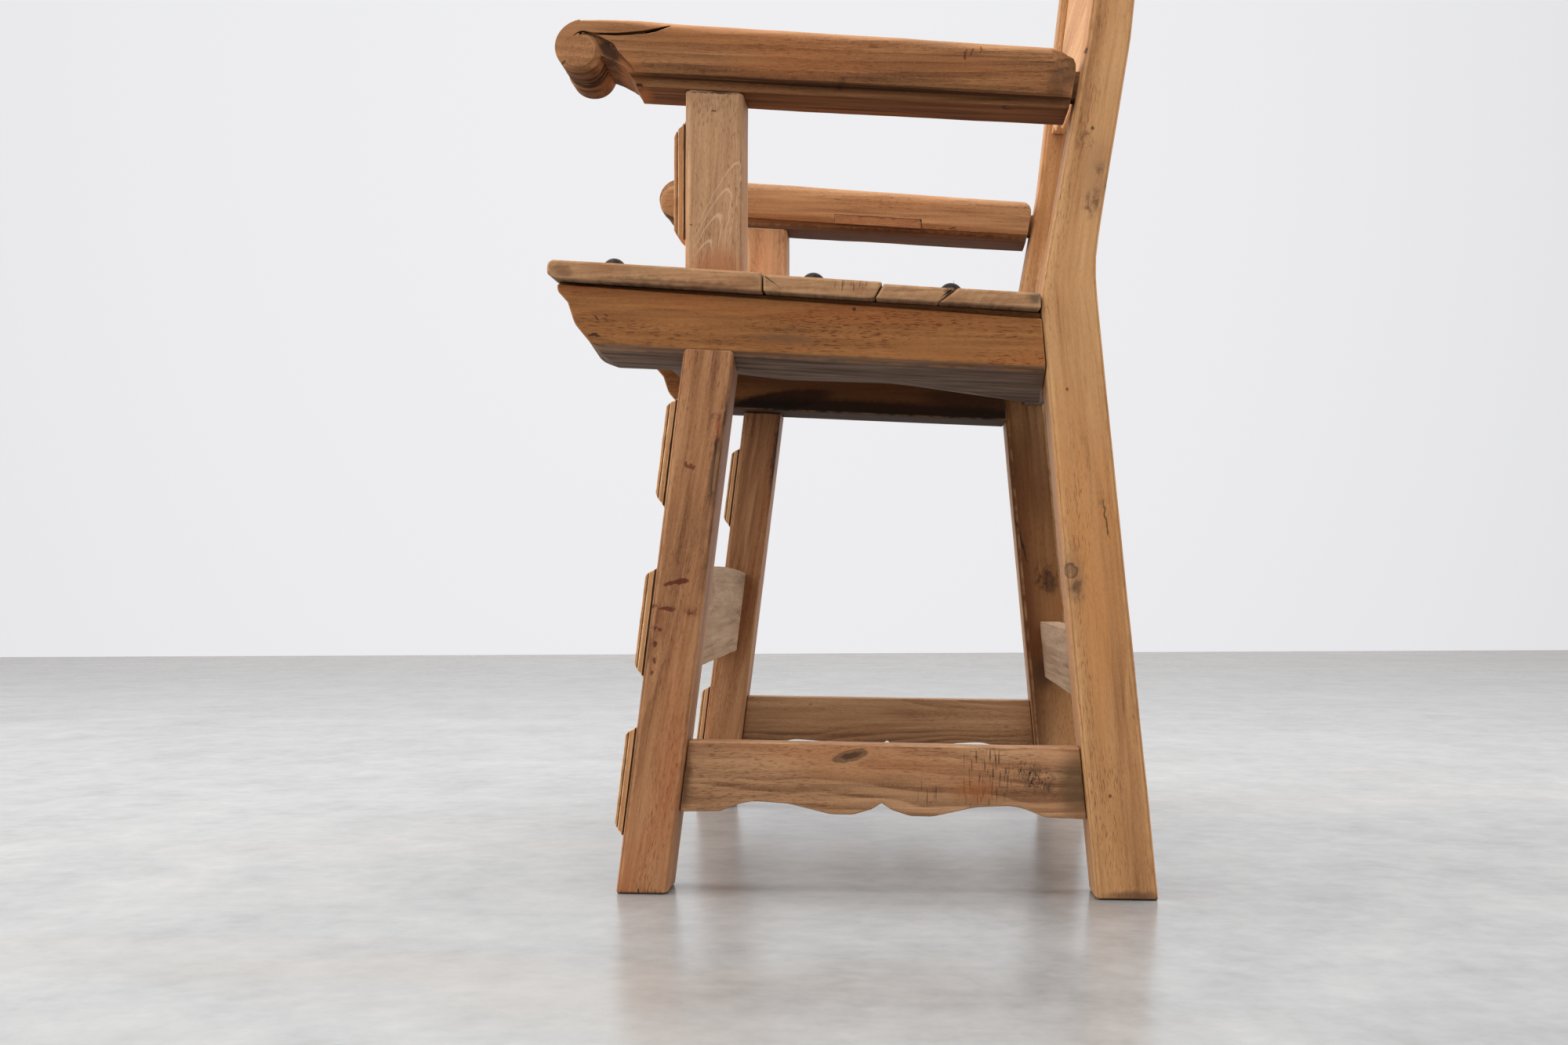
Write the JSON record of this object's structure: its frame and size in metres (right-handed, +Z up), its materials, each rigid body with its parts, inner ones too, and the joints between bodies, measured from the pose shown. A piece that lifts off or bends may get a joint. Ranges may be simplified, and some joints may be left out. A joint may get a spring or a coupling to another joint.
{
  "type": "armchair",
  "caption": "Rustic wooden armchair with leaning front legs, scrolled armrests, a nailed board seat, scalloped side stretchers and stepped blocks on its legs and arm posts.",
  "frame": {"origin": "on the floor, under the middle of the chair's box", "axes": "+Z up, the chair faces -Y, +X towards the sitter's left"},
  "size_m": [0.574, 0.4908, 1.02],
  "materials": {
    "leg_wood": "sanded and lightly oiled honey brown wood",
    "arm_wood": "sanded and lightly oiled warm brown wood with a smooth worn top",
    "rail_wood": "sanded brown wood with a weathered grey underside",
    "board_wood": "sanded brown wood with weathered ends",
    "pale_wood": "pale greyish unfinished wood",
    "back_wood": "sanded light brown wood",
    "block_wood": "sanded light brown wood with dark joint lines",
    "iron": "dark hand-forged iron, slightly rusty"
  },
  "bodies": {
    "root": {"left_front_leg": "leg_wood", "right_front_leg": "leg_wood", "left_back_post": "leg_wood", "right_back_post": "leg_wood", "left_arm_post": "leg_wood", "right_arm_post": "leg_wood", "left_armrest": "arm_wood", "right_armrest": "arm_wood", "right_armrest_patch": "arm_wood", "left_seat_rail": "rail_wood", "right_seat_rail": "rail_wood", "front_seat_rail": "rail_wood", "rear_seat_rail": "rail_wood", "seat_board_1": "board_wood", "seat_board_2": "board_wood", "seat_board_3": "board_wood", "seat_board_4": "board_wood", "left_seat_nails": "iron", "right_seat_nails": "iron", "left_side_stretcher": "leg_wood", "right_side_stretcher": "leg_wood", "front_stretcher": "pale_wood", "rear_stretcher": "pale_wood", "back_lower_board": "back_wood", "back_crest_board": "back_wood", "left_leg_block_low": "block_wood", "left_leg_block_middle": "block_wood", "left_leg_block_high": "block_wood", "right_leg_block_low": "block_wood", "right_leg_block_middle": "block_wood", "right_leg_block_high": "block_wood", "left_post_block": "block_wood", "right_post_block": "block_wood"}
  },
  "joints": []
}
